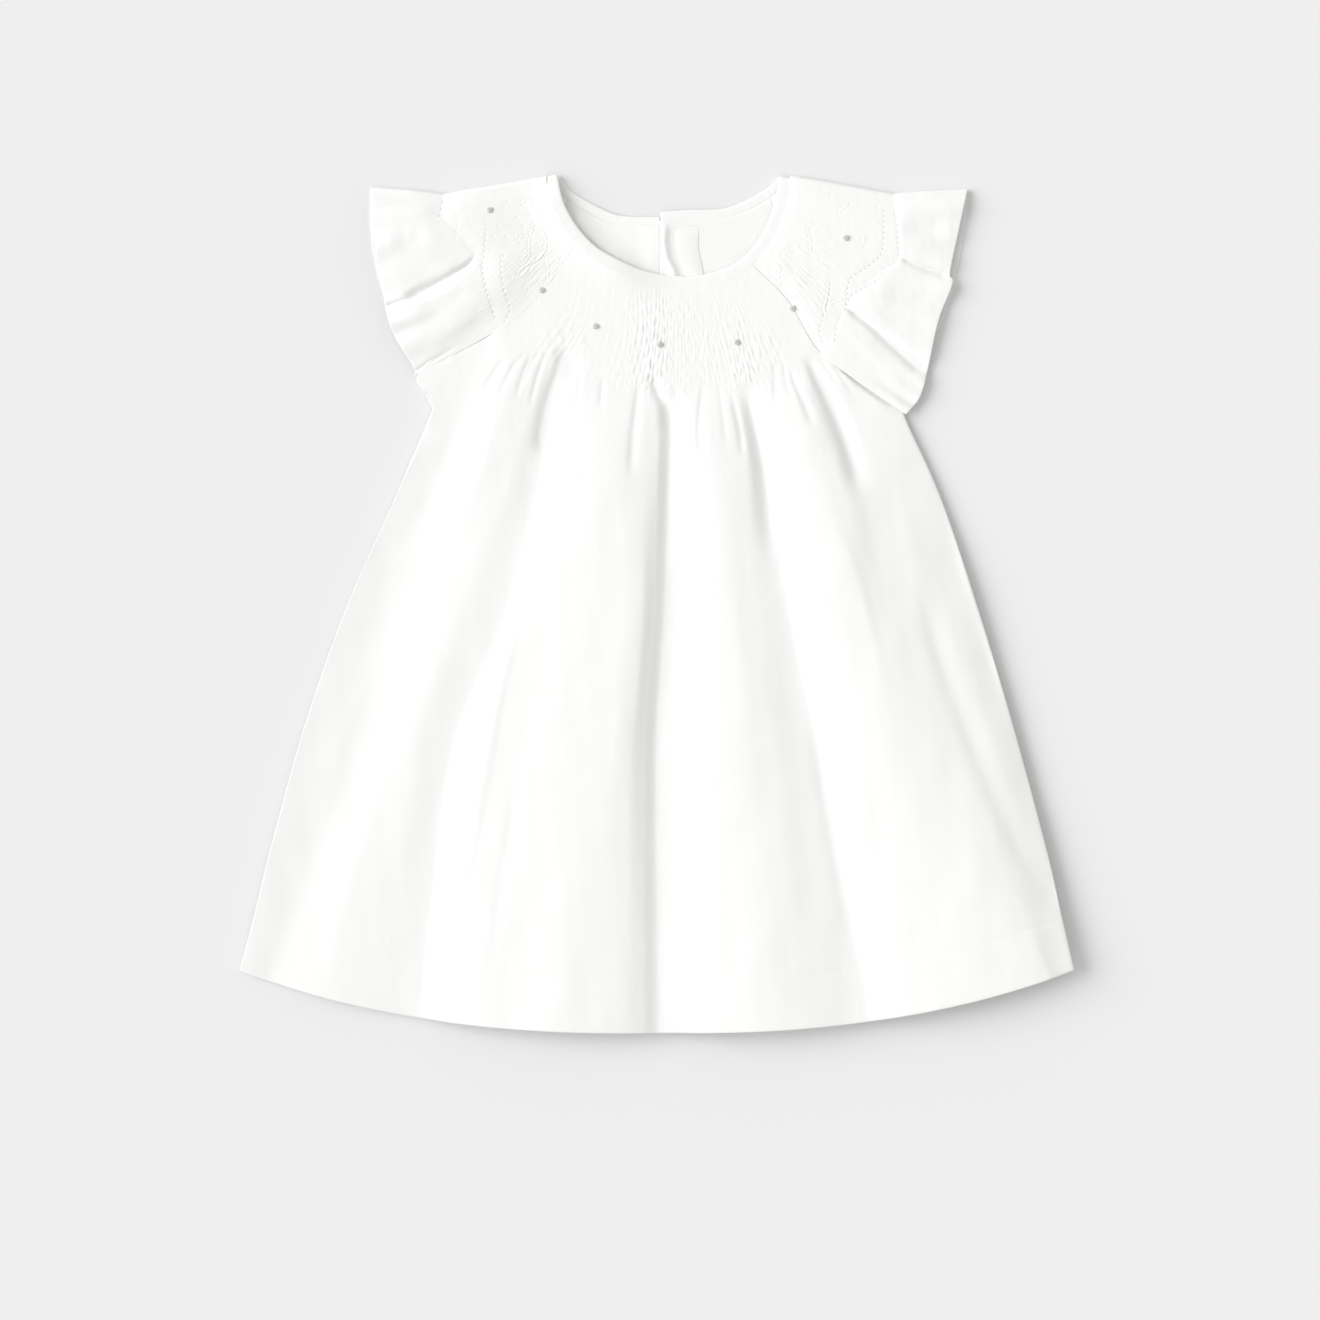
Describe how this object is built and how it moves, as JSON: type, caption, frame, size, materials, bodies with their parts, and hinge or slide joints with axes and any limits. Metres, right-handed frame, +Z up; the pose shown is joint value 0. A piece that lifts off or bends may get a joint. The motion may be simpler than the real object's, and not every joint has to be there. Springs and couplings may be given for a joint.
{
  "type": "toddler dress",
  "caption": "White toddler dress laid flat, with a smocked round yoke, raglan flutter sleeves, a bound neck, a centre-back opening and a flared, folded skirt.",
  "frame": {"origin": "middle of the dress's outline, on the surface that it lies on", "axes": "+Z up from the surface through the front of the dress, +Y from the hem towards the neck, +X towards the sleeve on the viewer's right"},
  "size_m": [0.4164, 0.4278, 0.0136],
  "materials": {
    "cotton": "matte slubby plain weave",
    "binding_cotton": "matte, folded bias strip",
    "beige_thread": "matte embroidery cotton"
  },
  "bodies": {
    "root": {"front": "cotton", "back_left": "cotton", "back_right": "cotton", "sleeve_left": "cotton", "sleeve_right": "cotton", "neck_binding_front": "binding_cotton", "neck_binding_back_left": "binding_cotton", "neck_binding_back_right": "binding_cotton", "placket_facing": "binding_cotton"}
  },
  "joints": []
}
